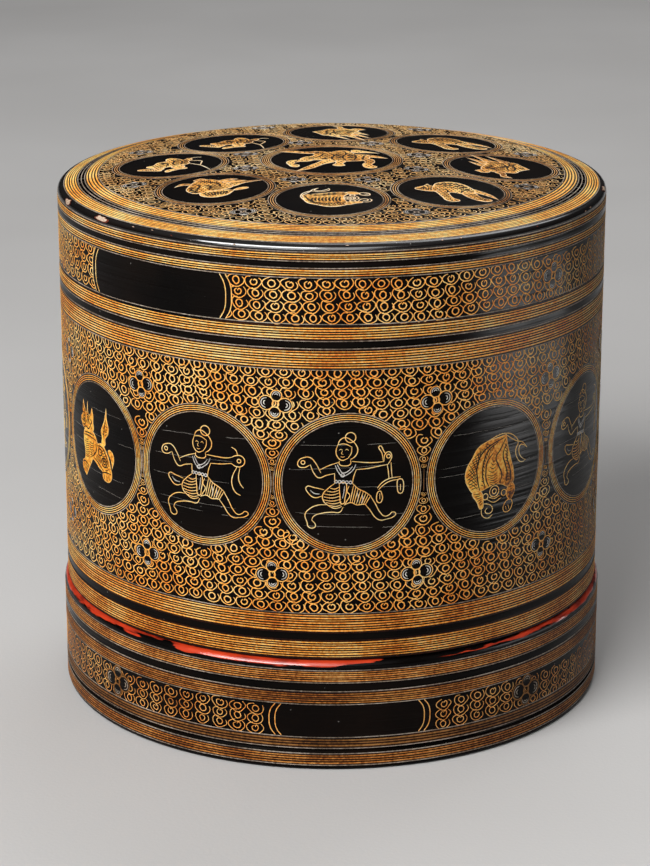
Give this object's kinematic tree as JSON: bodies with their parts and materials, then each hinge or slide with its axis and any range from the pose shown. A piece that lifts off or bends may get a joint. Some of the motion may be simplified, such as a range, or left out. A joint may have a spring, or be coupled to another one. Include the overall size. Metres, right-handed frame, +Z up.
{
  "type": "lacquer betel box",
  "caption": "Cylindrical lacquered bamboo betel box: a deep domed lid slips over an inner cylinder onto a wider rounded foot, with stacked lift-out trays inside.",
  "frame": {"origin": "centre of the ring that the box stands on, at the height of the ground", "axes": "+Z up along the axis of the cylinder; -Y is the side that faces the camera in the picture"},
  "size_m": [0.2026, 0.2026, 0.1972],
  "materials": {
    "black_lacquer": "gloss",
    "gold_on_black": "gloss",
    "red_lacquer": "satin"
  },
  "bodies": {
    "base": {"foot_ring": "gold_on_black", "base_floor": "red_lacquer", "foot_sleeve": "gold_on_black", "foot_shoulder_hoop": "red_lacquer", "base_wall": "red_lacquer", "base_mouth_hoop": "black_lacquer", "tray_ledge_hoop": "red_lacquer"},
    "lower_tray": {"lower_tray_foot_hoop": "black_lacquer", "lower_tray_floor": "red_lacquer", "lower_tray_wall": "gold_on_black", "lower_tray_rim_hoop": "black_lacquer"},
    "upper_tray": {"upper_tray_foot_hoop": "black_lacquer", "upper_tray_floor": "red_lacquer", "upper_tray_wall": "gold_on_black", "upper_tray_rim_hoop": "black_lacquer"},
    "lid": {"lid_mouth_hoop": "gold_on_black", "lid_wall": "gold_on_black", "lid_shoulder_hoop": "black_lacquer", "lid_top": "gold_on_black"}
  },
  "joints": [
    {"name": "lower_tray_lift", "type": "slide", "parent": "base", "child": "lower_tray", "axis": [0, 0, 1], "range_m": [0, 0.11]},
    {"name": "upper_tray_lift", "type": "slide", "parent": "lower_tray", "child": "upper_tray", "axis": [0, 0, 1], "range_m": [0, 0.08]},
    {"name": "lid_lift", "type": "slide", "parent": "upper_tray", "child": "lid", "axis": [0, 0, 1], "range_m": [0, 0.2]}
  ]
}
